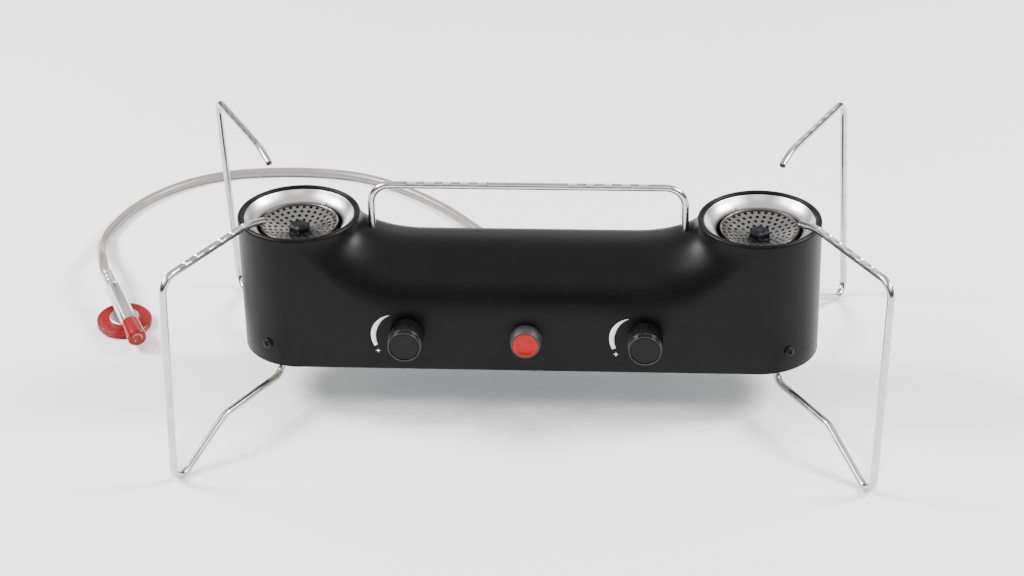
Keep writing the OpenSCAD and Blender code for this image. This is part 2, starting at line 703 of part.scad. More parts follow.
housing();
base_plate();
housing_screws();
left_drip_bowl();
right_drip_bowl();
left_burner_head();
right_burner_head();
left_burner_nut();
right_burner_nut();
left_burner_body();
right_burner_body();
left_burner_bracket();
right_burner_bracket();
left_mixing_tube();
right_mixing_tube();
left_jet();
right_jet();
left_valve_body();
right_valve_body();
left_valve_nut();
right_valve_nut();
left_valve_stem();
right_valve_stem();
left_knob();
right_knob();
gas_manifold();
inlet_fitting();
inlet_nut();
left_electrode();
right_electrode();
left_insulator();
right_insulator();
left_igniter_lead();
right_igniter_lead();
igniter_collar();
igniter_nut();
igniter_button();
igniter_spring();
piezo_unit();
carry_bail();
bail_nuts();
pivot_bushes();
leg_front_left();
leg_front_right();
leg_back_left();
leg_back_right();
clip_front_left();
clip_front_right();
clip_back_left();
clip_back_right();
hose_inlet_ferrule();
hose();
hose_outlet_ferrule();
connector_body();
connector_hub();
connector_wheel();
canister_seal();
line_knob();
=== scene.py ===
"""Two-burner camping stove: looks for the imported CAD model. Metres, +Z up, user at -Y."""
import math

import bmesh
import bpy
from mathutils import Matrix, Vector


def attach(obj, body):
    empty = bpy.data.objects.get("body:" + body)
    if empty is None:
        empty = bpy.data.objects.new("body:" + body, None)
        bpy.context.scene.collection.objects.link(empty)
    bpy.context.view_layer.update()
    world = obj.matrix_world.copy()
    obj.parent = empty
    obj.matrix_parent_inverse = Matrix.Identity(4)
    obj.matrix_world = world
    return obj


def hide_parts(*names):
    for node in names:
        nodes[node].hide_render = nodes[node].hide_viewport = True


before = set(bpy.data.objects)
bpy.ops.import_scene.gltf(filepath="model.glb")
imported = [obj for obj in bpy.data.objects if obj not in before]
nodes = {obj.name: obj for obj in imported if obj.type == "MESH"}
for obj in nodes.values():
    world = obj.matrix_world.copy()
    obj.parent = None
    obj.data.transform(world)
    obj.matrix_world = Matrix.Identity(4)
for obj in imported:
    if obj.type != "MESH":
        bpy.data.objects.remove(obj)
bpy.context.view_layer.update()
MM = 0.001

# ---------- sizes, repeated from the CAD source (metres) ----------

BURNER_X = 0.175
BODY_R = 0.047
FACE_Y = 0.0468
BASE_Z = 0.040
RIM_Z = 0.150
SADDLE_AXIS_Z = 0.0852
WALL = 0.0012
BEAD_R = 0.0022
LEDGE_Z = RIM_Z - BEAD_R
BLEND_REACH = 0.050
KNOB_X = 0.0905
KNOB_Z = 0.072
BUTTON_Z = 0.068
WIRE_R = 0.00275
ARM_Z = 0.174
STRUT_Z = 0.0275
HEAD_Z = 0.142
CONN_POS = Vector((-0.339, 0.0805, 0.0051))
CONN_HEADING = math.radians(-64.5)
CONN_TILT = math.radians(6)
HOSE_R = 0.004
FLOOR_GAP = 0.00003     # keeps the hose just clear of the floor
PATH_STEP = 0.0007      # the wires' straights are cut this finely, for the notches
LEFT, RIGHT = -1, 1
SIDES = ((LEFT, "left"), (RIGHT, "right"))

HOSE_ROUTE = [Vector(p) * MM for p in (
    (0, 78, 72), (0, 87, 72), (0, 101, 70), (0, 115, 65), (-1, 128.5, 56.5), (-3, 141, 45),
    (-6, 153, 32), (-11, 166, 20), (-18, 181, 11), (-27, 198, 6), (-38, 217, 4), (-52, 237, 4),
    (-67, 256, 4), (-82, 275, 4), (-98, 293, 4), (-116, 310, 4), (-136, 326, 4), (-158, 340, 4),
    (-182, 350, 4), (-207, 355, 4), (-232, 357, 4), (-257, 356, 4), (-281, 353, 4),
    (-304, 346, 4), (-325, 335, 4), (-343, 320, 4), (-358, 302, 4), (-370, 281, 4),
    (-378, 259, 4), (-383, 236, 4.5), (-383, 215, 7), (-381, 196, 11), (-377, 178, 16),
    (-372.5, 161, 20.5), (-368.5, 146.5, 23), (-365.9, 137, 23.3), (-362.5, 129.7, 22.4))]


# ---------- camera ----------

def make_camera():
    """Stands where the camera fitted to the photograph stands."""
    camera = bpy.data.objects.new("Camera", bpy.data.cameras.new("Camera"))
    bpy.context.scene.collection.objects.link(camera)
    camera.data.sensor_width = 36
    camera.data.lens = 92.07
    camera.data.clip_end = 50
    camera.matrix_world = (
        Matrix.Translation((0.12505, -1.75488, 1.06801))
        @ Matrix.Rotation(math.radians(4.511), 4, "Z")
        @ Matrix.Rotation(math.radians(90 - 29.153), 4, "X")
        @ Matrix.Rotation(math.radians(-1.366), 4, "Z"))
    bpy.context.scene.camera = camera


make_camera()


# ---------- materials ----------

class Nodes:
    """A material's node tree, with short calls to add and join nodes."""

    def __init__(self, name):
        self.material = bpy.data.materials.new(name)
        self.material.use_nodes = True
        self.tree = self.material.node_tree
        self.shader = self.tree.nodes["Principled BSDF"]

    def add(self, kind, **values):
        """Adds a node; each value goes to its socket, or to the node's own setting."""
        node = self.tree.nodes.new("ShaderNode" + kind)
        for key, value in values.items():
            if key in node.inputs:
                node.inputs[key].default_value = value
            else:
                setattr(node, key, value)
        return node

    def join(self, source, target, socket):
        self.tree.links.new(source, target.inputs[socket])

    def set(self, **values):
        for key, value in values.items():
            self.shader.inputs[key.replace("_", " ")].default_value = value

    def coords(self, kind, scale=(1, 1, 1)):
        place = self.add("Mapping")
        place.inputs["Scale"].default_value = scale
        self.join(self.add("TexCoord").outputs[kind], place, "Vector")
        return place.outputs["Vector"]

    def noise(self, where, scale, detail=3.0, roughness=0.5):
        node = self.add("TexNoise", Scale=scale, Detail=detail, Roughness=roughness)
        self.join(where, node, "Vector")
        return node.outputs["Fac"]

    def ramp(self, source, stops):
        node = self.add("ValToRGB")
        ramp = node.color_ramp
        while len(ramp.elements) < len(stops):
            ramp.elements.new(0.5)
        for element, (place, colour) in zip(ramp.elements, stops):
            element.position = place
            element.color = (*colour, 1)
        self.join(source, node, "Fac")
        return node.outputs["Color"]

    def span(self, source, low, high):
        """Maps 0..1 onto low..high."""
        node = self.add("MapRange")
        node.inputs["To Min"].default_value = low
        node.inputs["To Max"].default_value = high
        self.join(source, node, "Value")
        return node.outputs["Result"]

    def mix(self, factor, a, b):
        """A blend from a, where the factor is 0, to b; each is a colour or a socket."""
        node = self.add("Mix", data_type="RGBA")
        self.join(factor, node, "Factor")
        first_colour, second_colour, blended = 6, 7, 2
        for index, value in ((first_colour, a), (second_colour, b)):
            if isinstance(value, tuple):
                node.inputs[index].default_value = (*value, 1)
            else:
                self.tree.links.new(value, node.inputs[index])
        return node.outputs[blended]

    def math(self, operation, a, b=None):
        node = self.add("Math", operation=operation)
        for i, value in enumerate((a, b)):
            if value is None:
                continue
            if isinstance(value, (int, float)):
                node.inputs[i].default_value = value
            else:
                self.tree.links.new(value, node.inputs[i])
        return node.outputs["Value"]

    def bump(self, source, strength, distance):
        node = self.add("Bump", Strength=strength, Distance=distance)
        self.join(source, node, "Height")
        self.join(node.outputs["Normal"], self.shader, "Normal")


def grey(v):
    return (v, v, v)


def plastic(name, colour, rough=(0.32, 0.45), grain=0.12, scale=2600, clear=0.0, shine=0.5):
    """Moulded plastic: a fine spark-eroded grain and slightly uneven gloss."""
    m = Nodes(name)
    where = m.coords("Object")
    patchy = m.noise(where, 60, 4)
    fine = m.noise(where, scale, 2, 0.6)
    m.join(m.ramp(patchy, [(0.3, tuple(c * 0.88 for c in colour)), (0.7, colour)]),
           m.shader, "Base Color")
    m.join(m.span(patchy, *rough), m.shader, "Roughness")
    m.bump(fine, grain, 0.00006)
    m.set(IOR=1.48, Transmission_Weight=clear, Specular_IOR_Level=shine)
    return m.material


def satin_paint():
    """Baked satin black: faint orange peel, fine dust in the gloss."""
    m = Nodes("satin_black_paint")
    where = m.coords("Object")
    peel = m.noise(where, 420, 2, 0.4)
    dust = m.noise(where, 3200, 2, 0.7)
    cloud = m.noise(where, 18, 3)
    m.join(m.ramp(cloud, [(0.3, (0.0022, 0.0022, 0.0024)), (0.75, (0.0040, 0.0040, 0.0042))]),
           m.shader, "Base Color")
    m.join(m.span(dust, 0.34, 0.44), m.shader, "Roughness")
    both = m.math("ADD", m.math("MULTIPLY", peel, 0.55), m.math("MULTIPLY", dust, 0.3))
    m.bump(both, 0.10, 0.00008)
    m.set(IOR=1.5, Specular_IOR_Level=0.12)
    return m.material


def turned_steel(name, colour, rough=(0.18, 0.30), centre=None, lines=0.10, ports=False,
                 inner=None):
    """Metal with a fine grain, which runs in rings about an upright axis if centre is given.
    inner is the radius of a bowl's inner edge: painted shade darkens the metal inside it and fades
    out just beyond it. ports says that it has flame ports, whose upright walls get painted shade."""
    m = Nodes(name)
    where = m.coords("Object")
    if centre is not None:
        shift = m.add("VectorMath", operation="SUBTRACT")
        m.tree.links.new(where, shift.inputs[0])
        shift.inputs[1].default_value = centre
        length = m.add("VectorMath", operation="LENGTH")
        flat = m.add("VectorMath", operation="MULTIPLY")
        m.tree.links.new(shift.outputs["Vector"], flat.inputs[0])
        flat.inputs[1].default_value = (1, 1, 0)
        m.tree.links.new(flat.outputs["Vector"], length.inputs[0])
        rings = m.add("TexNoise", noise_dimensions="1D", Scale=2600, Detail=3.0)
        m.join(length.outputs["Value"], rings, "W")
        grain = rings.outputs["Fac"]
    else:
        grain = m.noise(where, 1500, 3)
    cloud = m.noise(where, 45, 4, 0.6)
    tint = m.ramp(cloud, [(0.25, tuple(c * 0.86 for c in colour)), (0.75, colour)])
    if inner is not None:
        # Painted shade: the metal is dark inside the inner edge and brightens again over a short
        # band outside it, standing for the shade in the gap by the burner head.
        painted_shade_width = 0.0022
        near = m.add("MapRange", interpolation_type="SMOOTHSTEP")
        near.inputs["From Min"].default_value = inner
        near.inputs["From Max"].default_value = inner + painted_shade_width
        m.join(length.outputs["Value"], near, "Value")
        tint = m.mix(near.outputs["Result"], (0.13, 0.122, 0.115), tint)
    if ports:
        # Painted shade: the upright walls of the flame ports are painted near black, standing for
        # the shade inside the ports.
        upright_below, ports_end = 0.3, 0.0285
        normal = m.add("SeparateXYZ")
        m.join(m.add("NewGeometry").outputs["True Normal"], normal, "Vector")
        level = m.math("ABSOLUTE", normal.outputs["Z"])
        wall = m.math("MULTIPLY", m.math("LESS_THAN", level, upright_below),
                      m.math("LESS_THAN", length.outputs["Value"], ports_end))
        tint = m.mix(wall, tint, grey(0.006))
    m.join(tint, m.shader, "Base Color")
    m.join(m.span(m.math("ADD", m.math("MULTIPLY", cloud, 0.6), m.math("MULTIPLY", grain, 0.4)),
                  *rough), m.shader, "Roughness")
    m.bump(grain, lines, 0.00003)
    m.set(Metallic=1.0)
    return m.material


def drawn_wire():
    """Polished stainless wire, with faint lines along its length."""
    m = Nodes("polished_wire")
    along = m.coords("UV", (60, 6, 1))
    lines = m.noise(along, 4, 3, 0.6)
    cloud = m.noise(m.coords("Object"), 80, 3)
    m.join(m.ramp(cloud, [(0.3, (0.46, 0.46, 0.465)), (0.7, (0.58, 0.58, 0.585))]),
           m.shader, "Base Color")
    m.join(m.span(m.math("ADD", m.math("MULTIPLY", lines, 0.5), m.math("MULTIPLY", cloud, 0.5)),
                  0.12, 0.27), m.shader, "Roughness")
    m.bump(lines, 0.08, 0.00003)
    m.set(Metallic=1.0)
    return m.material


def braided_hose():
    """Steel-grey braid seen through a clear sleeve: two sets of strands crossing each other."""
    m = Nodes("braided_hose")
    parts = m.add("SeparateXYZ")
    m.join(m.coords("UV"), parts, "Vector")
    strands_around, crossings_a_metre = 16, 420
    around = m.math("MULTIPLY", parts.outputs["X"], strands_around)
    along = m.math("MULTIPLY", parts.outputs["Y"], crossings_a_metre)
    waves = []
    for operation in ("ADD", "SUBTRACT"):
        turn = m.math("MULTIPLY", m.math(operation, around, along), math.pi)
        waves.append(m.math("ABSOLUTE", m.math("SINE", turn)))
    over = m.math("MAXIMUM", *waves)
    under = m.math("MINIMUM", *waves)
    weave = m.math("ADD", m.math("MULTIPLY", over, 0.65), m.math("MULTIPLY", under, 0.35))
    m.join(m.ramp(weave, [(0.25, (0.032, 0.029, 0.027)), (0.6, (0.17, 0.159, 0.148)),
                          (0.95, (0.39, 0.37, 0.35))]), m.shader, "Base Color")
    m.join(m.span(weave, 0.5, 0.32), m.shader, "Roughness")
    m.bump(weave, 0.35, 0.00025)
    m.set(Metallic=0.35, Coat_Weight=0.45, Coat_Roughness=0.14, Coat_IOR=1.4)
    return m.material


def ceramic():
    """Cream glaze with a little unevenness."""
    m = Nodes("glazed_ceramic")
    cloud = m.noise(m.coords("Object"), 300, 3)
    m.join(m.ramp(cloud, [(0.3, (0.72, 0.69, 0.62)), (0.7, (0.86, 0.84, 0.78))]),
           m.shader, "Base Color")
    m.join(m.span(cloud, 0.15, 0.3), m.shader, "Roughness")
    m.set(Coat_Weight=0.6, Coat_Roughness=0.05)
    return m.material


def printed_white():
    """White ink, slightly worn."""
    m = Nodes("printed_white")
    cloud = m.noise(m.coords("Object"), 900, 3)
    m.join(m.ramp(cloud, [(0.2, grey(0.93)), (0.6, grey(1.0))]), m.shader, "Base Color")
    m.join(m.span(cloud, 0.42, 0.6), m.shader, "Roughness")
    return m.material


PAINT = satin_paint()
WIRE = drawn_wire()
HOSE = braided_hose()
BLACK = plastic("black_plastic", (0.0045, 0.0045, 0.0049), (0.22, 0.34), 0.2, 2200, shine=0.5)
MATT_BLACK = plastic("matt_black_plastic", (0.005, 0.005, 0.0054), (0.4, 0.5), 0.3, 2200,
                     shine=0.16)
CAP_RED = plastic("button_plastic", (0.44, 0.006, 0.003), (0.26, 0.38), 0.05, 2600, shine=0.22)
RED = plastic("red_plastic", (0.36, 0.0045, 0.005), (0.2, 0.3), 0.05, 2400, clear=0.4,
              shine=0.25)
COLLAR = plastic("collar_plastic", (0.020, 0.020, 0.021), (0.42, 0.55), 0.2, 2200, shine=0.6)
IVORY = plastic("ivory_plastic", (0.62, 0.58, 0.48))
RUBBER = plastic("black_rubber", (0.018, 0.018, 0.018), (0.55, 0.75), 0.3, 1800)
CERAMIC = ceramic()
PRINT = printed_white()
# Painted shade: the heads' port walls are painted near black in turned_steel.
HEAD = {side: turned_steel("head_steel_%d" % side, (0.25, 0.246, 0.242), (0.22, 0.34),
                           (side * BURNER_X, 0, 0), 0.05, ports=True)
        for side in (LEFT, RIGHT)}
# Painted shade: the bowls' metal is darkened inside and just beyond their inner edge, in
# turned_steel.
BOWL = {side: turned_steel("bowl_steel_%d" % side, (0.62, 0.62, 0.62), (0.26, 0.36),
                           (side * BURNER_X, 0, 0), 0.02, inner=0.0331)
        for side in (LEFT, RIGHT)}
STEEL = turned_steel("machined_steel", (0.58, 0.58, 0.59), (0.24, 0.38))
CHROME = turned_steel("bright_plating", (0.68, 0.68, 0.69), (0.08, 0.18), lines=0.03)
SATIN = turned_steel("satin_plating", (0.70, 0.70, 0.70), (0.26, 0.38), lines=0.05)
BLACKED = turned_steel("blackened_steel", (0.022, 0.022, 0.024), (0.36, 0.5), lines=0.2)
MARKED = plastic("pale_red_mark", (0.62, 0.20, 0.18), (0.2, 0.3), 0.05)
BRASS = turned_steel("brass", (0.70, 0.49, 0.20), (0.22, 0.36))
CAST = turned_steel("cast_alloy", (0.26, 0.26, 0.27), (0.42, 0.6), lines=0.5)
ZINC = turned_steel("zinc_sheet", (0.36, 0.37, 0.38), (0.32, 0.5), lines=0.3)


def dress_cad_nodes():
    """Gives each CAD node that stays in view or inside the housing its material."""
    by_name = {
        "base_plate": ZINC, "pivot_bushes": BRASS, "bail_nuts": BLACKED, "gas_manifold": BRASS,
        "inlet_fitting": BRASS, "inlet_nut": STEEL, "igniter_nut": BLACK, "igniter_spring": STEEL,
        "piezo_unit": IVORY, "canister_seal": RUBBER}
    by_ending = {
        "burner_body": CAST, "burner_bracket": ZINC, "mixing_tube": CAST, "jet": BRASS,
        "valve_body": BRASS, "valve_nut": STEEL, "valve_stem": BRASS, "electrode": STEEL,
        "insulator": CERAMIC, "igniter_lead": RUBBER}
    for name, obj in nodes.items():
        material = by_name.get(name)
        for ending, found in by_ending.items():
            if name.endswith(ending):
                material = found
        if name.startswith("clip_"):
            material = BLACKED
        if material is None:
            continue
        for slot in obj.material_slots:
            slot.material = material


dress_cad_nodes()


# ---------- mesh helpers ----------

def piece(name, verts, faces, material, body, replaces=(), uvs=None, sharp=32):
    """A mesh object that rides on a body and may stand for CAD nodes."""
    mesh = bpy.data.meshes.new(name)
    mesh.from_pydata([tuple(v) for v in verts], [], faces)
    if uvs is not None:
        # A face across the seam, where u runs from 1 back to 0, counts on past 1.
        layer = mesh.uv_layers.new(name="UVMap")
        for poly in mesh.polygons:
            us = [uvs[mesh.loops[i].vertex_index][0] for i in poly.loop_indices]
            wrap = max(us) - min(us) > 0.5
            for i in poly.loop_indices:
                u, v = uvs[mesh.loops[i].vertex_index]
                layer.data[i].uv = (u + 1 if wrap and u < 0.5 else u, v)
    mesh.materials.append(material)
    mesh.polygons.foreach_set("use_smooth", [True] * len(mesh.polygons))
    mesh.set_sharp_from_angle(angle=math.radians(sharp))
    mesh.update()
    obj = bpy.data.objects.new(name, mesh)
    bpy.context.scene.collection.objects.link(obj)
    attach(obj, body)
    if replaces:
        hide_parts(*replaces)
    return obj


def rounded(points, radii, step=None, arc=math.radians(7)):
    """Points along a path whose corners are rounded; straights may be cut into steps."""
    path = [points[0].copy()]
    for i in range(1, len(points) - 1):
        b = points[i]
        u = (points[i - 1] - b).normalized()
        w = (points[i + 1] - b).normalized()
        half = u.angle(w) / 2
        r = radii[i - 1]
        straight = half > math.radians(89.5)
        if r <= 0 or straight:
            path.append(b.copy())
            continue
        reach = r / math.tan(half)
        centre = b + (u + w).normalized() * (r / math.sin(half))
        start, end = b + u * reach - centre, b + w * reach - centre
        sweep = math.pi - 2 * half
        n = max(2, round(sweep / arc))
        for k in range(n + 1):
            t = k / n
            path.append(centre + (start * math.sin((1 - t) * sweep) + end * math.sin(t * sweep))
                        / math.sin(sweep))
    path.append(points[-1].copy())
    if step is None:
        return path
    fine = [path[0]]
    for a, b in zip(path, path[1:]):
        n = max(1, math.ceil((b - a).length / step))
        fine += [a.lerp(b, k / n) for k in range(1, n + 1)]
    return fine


def tube(path, radius, sides=20, first_side=Vector((0, 1, 0)), cap_bevel=0.0, shape=None):
    """Verts, faces and UVs of a round bar along a path, with closed, bevelled ends.
    shape(centre, offset) may press the section out of round. V is the length in metres."""
    n = len(path)
    tangents = [(path[min(i + 1, n - 1)] - path[max(i - 1, 0)]).normalized() for i in range(n)]
    side = (first_side - tangents[0] * first_side.dot(tangents[0])).normalized()
    rings = []
    so_far = 0.0
    for i in range(n):
        t = tangents[i]
        if i:
            side = tangents[i - 1].rotation_difference(t) @ side
            side = (side - t * side.dot(t)).normalized()
            so_far += (path[i] - path[i - 1]).length
        rings.append((path[i], side.copy(), t.cross(side), radius, so_far))
    if cap_bevel:
        for end, sign in ((0, -1), (-1, 1)):
            c, s, b, r, v = rings[end]
            t = tangents[end] * sign
            rings[end] = (c - t * cap_bevel, s, b, r, v)
            extra = [(c - t * cap_bevel * (1 - math.sin(a)), s, b,
                      r - cap_bevel * (1 - math.cos(a)), v)
                     for a in (math.radians(45), math.radians(90))]
            rings = (extra[::-1] + rings) if end == 0 else (rings + extra)
    verts, uvs, faces = [], [], []
    for c, s, b, r, v in rings:
        for k in range(sides):
            a = 2 * math.pi * k / sides
            offset = (s * math.cos(a) + b * math.sin(a)) * r
            if shape:
                offset = shape(c, offset)
            verts.append(c + offset)
            uvs.append((k / sides, v))
    for i in range(len(rings) - 1):
        for k in range(sides):
            k2 = (k + 1) % sides
            faces.append((i * sides + k, i * sides + k2,
                          (i + 1) * sides + k2, (i + 1) * sides + k))
    faces.append(tuple(range(sides))[::-1])
    last = (len(rings) - 1) * sides
    faces.append(tuple(last + k for k in range(sides)))
    return verts, faces, uvs


def lathe(profile, place, sides=96, ripple=None):
    """Verts and faces of a profile [(r, z), ...] turned about Z, then placed by a matrix.
    ripple(index in profile, angle) gives a factor for the radius."""
    verts, faces, rows = [], [], []
    on_axis = 1e-7
    for i, (r, z) in enumerate(profile):
        if r < on_axis:
            rows.append([len(verts)] * sides)
            verts.append(place @ Vector((0, 0, z)))
            continue
        rows.append(list(range(len(verts), len(verts) + sides)))
        for k in range(sides):
            a = 2 * math.pi * k / sides
            f = r * (ripple(i, a) if ripple else 1)
            verts.append(place @ Vector((f * math.cos(a), f * math.sin(a), z)))
    for low, high in zip(rows, rows[1:]):
        for k in range(sides):
            k2 = (k + 1) % sides
            face = []
            for index in (low[k], low[k2], high[k2], high[k]):
                if index not in face:
                    face.append(index)
            if len(face) > 2:
                faces.append(tuple(face))
    return verts, faces


def in_metres(profile):
    return [(r * MM, z * MM) for r, z in profile]


def soft_profile(points, radii, arc=math.radians(15)):
    """A lathe profile given in mm, in metres and with its corners rounded."""
    corners = [Vector((r, 0, z)) for r, z in in_metres(points)]
    path = rounded(corners, [x * MM for x in radii], arc=arc)
    return [(p.x, p.z) for p in path]


def hexagon(a):
    """Radius of a hexagon at an angle, where its corners are at 1 and one of them at 30 degrees."""
    near = (a + math.pi / 6) % (math.pi / 3) - math.pi / 6
    return math.cos(math.pi / 6) / math.cos(near)


def out_of_front(x, z, y):
    """Places +Z of a turned shape along -Y, starting at this point."""
    return Matrix.Translation((x, y, z)) @ Matrix.Rotation(math.pi / 2, 4, "X")


def join(parts):
    """Several (verts, faces) as one."""
    verts, faces = [], []
    for v, f in parts:
        base = len(verts)
        verts += list(v)
        faces += [tuple(i + base for i in face) for face in f]
    return verts, faces


def thicken(obj, thickness, offset=-1, split=None):
    """Gives a sheet its thickness; edges sharper than split degrees stay crisp."""
    shell = obj.modifiers.new("thickness", "SOLIDIFY")
    shell.thickness = thickness
    shell.offset = offset
    if split is not None:
        edges = obj.modifiers.new("crisp_edges", "EDGE_SPLIT")
        edges.split_angle = math.radians(split)


def outward(obj):
    """Makes a closed mesh's faces point out."""
    work = bmesh.new()
    work.from_mesh(obj.data)
    bmesh.ops.recalc_face_normals(work, faces=work.faces)
    work.to_mesh(obj.data)
    work.free()


# ---------- hose ----------

def smooth_route(points, per_span=9):
    """A Catmull-Rom curve through the route's points."""
    path = []
    ends = [points[0] * 2 - points[1]] + points + [points[-1] * 2 - points[-2]]
    for i in range(1, len(ends) - 2):
        p0, p1, p2, p3 = ends[i - 1:i + 3]
        for k in range(per_span):
            t = k / per_span
            path.append(0.5 * (2 * p1 + (p2 - p0) * t + (2 * p0 - 5 * p1 + 4 * p2 - p3) * t ** 2
                               + (3 * p1 - p0 - 3 * p2 + p3) * t ** 3))
    path.append(points[-1])
    return [Vector((p.x, p.y, max(p.z, HOSE_R + FLOOR_GAP))) for p in path]


def make_hose():
    """The hose, the points it follows and its length."""
    path = smooth_route(HOSE_ROUTE)
    verts, faces, uvs = tube(path, HOSE_R, 32, Vector((1, 0, 0)))
    obj = piece("braided_hose", verts, faces, HOSE, "stove", ["hose"], uvs, 60)
    length = sum((b - a).length for a, b in zip(path, path[1:]))
    return obj, path, length


hose, hose_path, hose_length = make_hose()


# ---------- housing ----------

def housing_rows(arc_steps=64, climb_steps=26, level_steps=14):
    """Rows of points across the saddle, from the left burner's round end to the right one's.
    The top is a half round that climbs by a quarter ellipse to the rims."""
    ys = [-FACE_Y * math.cos(math.pi * k / arc_steps) for k in range(arc_steps + 1)]
    tops = [SADDLE_AXIS_Z + math.sqrt(max(FACE_Y ** 2 - y * y, 0)) for y in ys]

    def row(side, a):
        r = BODY_R + BLEND_REACH * (1 - math.sin(a))
        climb = 1 - math.cos(a)
        return [Vector((side * (BURNER_X - math.sqrt(max(r * r - y * y, 0))), y,
                        top + (LEDGE_Z - top) * climb)) for y, top in zip(ys, tops)]

    angles = [math.pi / 2 * k / climb_steps for k in range(climb_steps, -1, -1)]
    left = [row(LEFT, a) for a in angles]
    right = [row(RIGHT, a) for a in reversed(angles)]
    level = []
    for k in range(1, level_steps):
        t = k / level_steps
        level.append([a.lerp(b, t) for a, b in zip(left[-1], right[0])])
    return left + level + right


def make_housing():
    """Saddle and round ends as one wall, turned in a little under its lower edge."""
    rows = housing_rows()
    m = len(rows[0])
    verts = [p for row in rows for p in row]
    faces = []
    for i in range(len(rows) - 1):
        for k in range(m - 1):
            faces.append((i * m + k, (i + 1) * m + k, (i + 1) * m + k + 1, i * m + k + 1))
    # The wall's upper edge, all the way round: front, right end, back, left end.
    edge = [i * m for i in range(len(rows))]
    for side in (RIGHT, LEFT):
        first = Vector((-math.sqrt(BODY_R ** 2 - FACE_Y ** 2), -FACE_Y if side > 0 else FACE_Y))
        start = math.atan2(first.y, side * first.x)
        sweep = 2 * (math.pi - math.acos(abs(first.x) / BODY_R))
        count = 80          # points round one end
        for k in range(1, count):
            a = start + sweep * k / count
            edge.append(len(verts))
            verts.append(Vector((side * BURNER_X + BODY_R * math.cos(a),
                                 BODY_R * math.sin(a), LEDGE_Z)))
        if side > 0:
            edge += [i * m + m - 1 for i in range(len(rows) - 1, -1, -1)]
    down = 8                # rows from the upper edge to the lower one
    lip = 0.0008            # radius of the lower edge
    levels = [edge]
    for k in range(1, down + 1):
        level = []
        for index in edge:
            p = verts[index]
            level.append(len(verts))
            verts.append(Vector((p.x, p.y, p.z + (BASE_Z + lip - p.z) * k / down)))
        levels.append(level)
    # A small round under the lower edge.
    for a in (30, 60, 90):
        inset = lip * (1 - math.cos(math.radians(a)))
        level = []
        for index in levels[down]:
            p = verts[index]
            core = Vector((max(min(p.x, BURNER_X), -BURNER_X), 0))
            out = (Vector((p.x, p.y)) - core).normalized()
            level.append(len(verts))
            verts.append(Vector((p.x - out.x * inset, p.y - out.y * inset,
                                 BASE_Z + lip * (1 - math.sin(math.radians(a))))))
        levels.append(level)
    n = len(edge)
    for high, low in zip(levels, levels[1:]):
        for k in range(n):
            k2 = (k + 1) % n
            faces.append((high[k], low[k], low[k2], high[k2]))
    obj = piece("housing_shell", verts, faces, PAINT, "stove", ["housing"],
                sharp=50)
    thicken(obj, WALL, split=50)
    tuck = 0.00008          # keeps the rolled rims inside the housing's outline
    for side, word in SIDES:
        ring = [(BODY_R - BEAD_R - tuck + BEAD_R * math.cos(a),
                 LEDGE_Z + BEAD_R * math.sin(a))
                for a in (2 * math.pi * k / 24 for k in range(25))]
        v, f = lathe(ring, Matrix.Translation((side * BURNER_X, 0, 0)), 144)
        outward(piece(word + "_rolled_rim", v, f, PAINT, "stove", sharp=80))


make_housing()


# ---------- burners ----------

def make_bowl(side, word):
    """Pressed bowl: rolled outer edge, concave dish, small step, skirt and foot."""
    outer, inner, low = 42.1, 32.8, 140.4       # two radii, and the height of the dish's inside
    dish = [(inner + (outer - 0.45 - inner) * t, low + 7.4 * (0.25 * t + 0.75 * t * t))
            for t in (k / 20 for k in range(21))]
    skin = [(outer, 146.9), (outer, 147.75), (outer - 0.08, 147.95), (outer - 0.25, 148.02)]
    skin += dish[::-1]
    skin += [(inner - 0.25, low - 0.35), (inner - 0.3, low - 1.2), (inner, 131.0),
             (45.4, 131.0), (45.4, 131.8), (inner + 0.8, 131.8), (inner + 0.55, low - 0.9)]
    skin += [(r + 0.1, z - 0.8) for r, z in dish[1:]]
    skin.append(skin[0])
    v, f = lathe(in_metres(skin), Matrix.Translation((side * BURNER_X, 0, 0)), 144)
    # Its material paints shade next to the dish's inner edge.
    outward(piece(word + "_bowl", v, f, BOWL[side], "stove",
                  [word + "_drip_bowl"], sharp=40))


# Burner heads, in mm: radius and number of ports of each ring, outermost first.
PORT_RINGS = ((27.1, 32), (22.8, 27), (18.5, 22), (14.2, 17), (9.9, 12))
PORT_R = 1.32
RING_HALF = 2.15
DISC_R = 28.4
DISC_FLAT_R = 8.4
DISC_LOW_Z = 133.6
DISC_RISE, DISC_RUN = 6.8, 19.8


def disc_height(r):
    """Height of the head's dished sheet, in mm, at a radius in mm."""
    return DISC_LOW_Z + max(0, min(r, DISC_R) - DISC_FLAT_R) * DISC_RISE / DISC_RUN


def port_cell(r_mid, r_low, r_high, middle, half_angle, per_side=6):
    """A patch of sheet between two radii and two angles, with a round port in it."""
    square = []
    for a, b in (((-1, -1), (1, -1)), ((1, -1), (1, 1)), ((1, 1), (-1, 1)), ((-1, 1), (-1, -1))):
        for k in range(per_side):
            t = k / per_side
            square.append((a[0] + (b[0] - a[0]) * t, a[1] + (b[1] - a[1]) * t))
    centre = Vector((r_mid * math.cos(middle), r_mid * math.sin(middle)))
    outer, inner = [], []
    for u, v in square:
        r = r_low + (r_high - r_low) * (u + 1) / 2
        a = middle + half_angle * v
        edge = Vector((r * math.cos(a), r * math.sin(a)))
        rim = centre + (edge - centre).normalized() * PORT_R
        outer.append(Vector((edge.x, edge.y, disc_height(r))) * MM)
        inner.append(Vector((rim.x, rim.y, disc_height(rim.length))) * MM)
    n = len(square)
    faces = [(k, (k + 1) % n, n + (k + 1) % n, n + k) for k in range(n)]
    return outer + inner, faces


